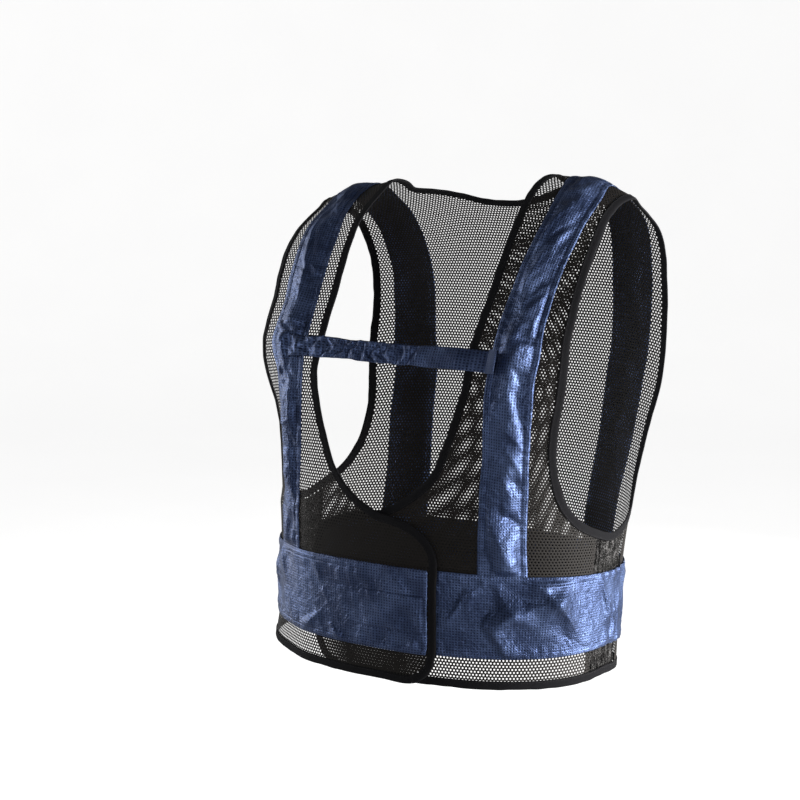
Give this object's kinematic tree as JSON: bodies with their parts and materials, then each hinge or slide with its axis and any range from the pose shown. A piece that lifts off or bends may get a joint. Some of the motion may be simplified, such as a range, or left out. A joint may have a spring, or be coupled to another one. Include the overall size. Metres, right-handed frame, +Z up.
{
  "type": "cooling vest",
  "caption": "Sleeveless cooling vest of open net with puffed air ducts over the shoulders, a wrap-over waist band and a chest strap.",
  "frame": {"origin": "midway between the shoulder straps, level with the top of their crest", "axes": "+X towards the wearer's left, -Y towards the front, +Z up"},
  "size_m": [0.3665, 0.2716, 0.4721],
  "materials": {
    "net": "open black net",
    "elastic": "gathered matt black elastic",
    "tape": "matt black woven tape",
    "shell": "glossy blue ripstop cloth",
    "loop": "blue stitched webbing"
  },
  "bodies": {
    "root": {"front_mesh_left": "net", "front_mesh_right": "net", "back_mesh": "net", "side_elastic_left": "elastic", "side_elastic_right": "elastic", "armhole_binding_left": "tape", "armhole_binding_right": "tape", "neck_binding": "tape", "hem_binding": "tape", "shoulder_duct_left": "shell", "shoulder_duct_right": "shell", "waist_band_left": "shell", "waist_band_right": "shell", "waist_band_back": "shell", "chest_strap": "shell", "strap_loop": "loop"}
  },
  "joints": []
}
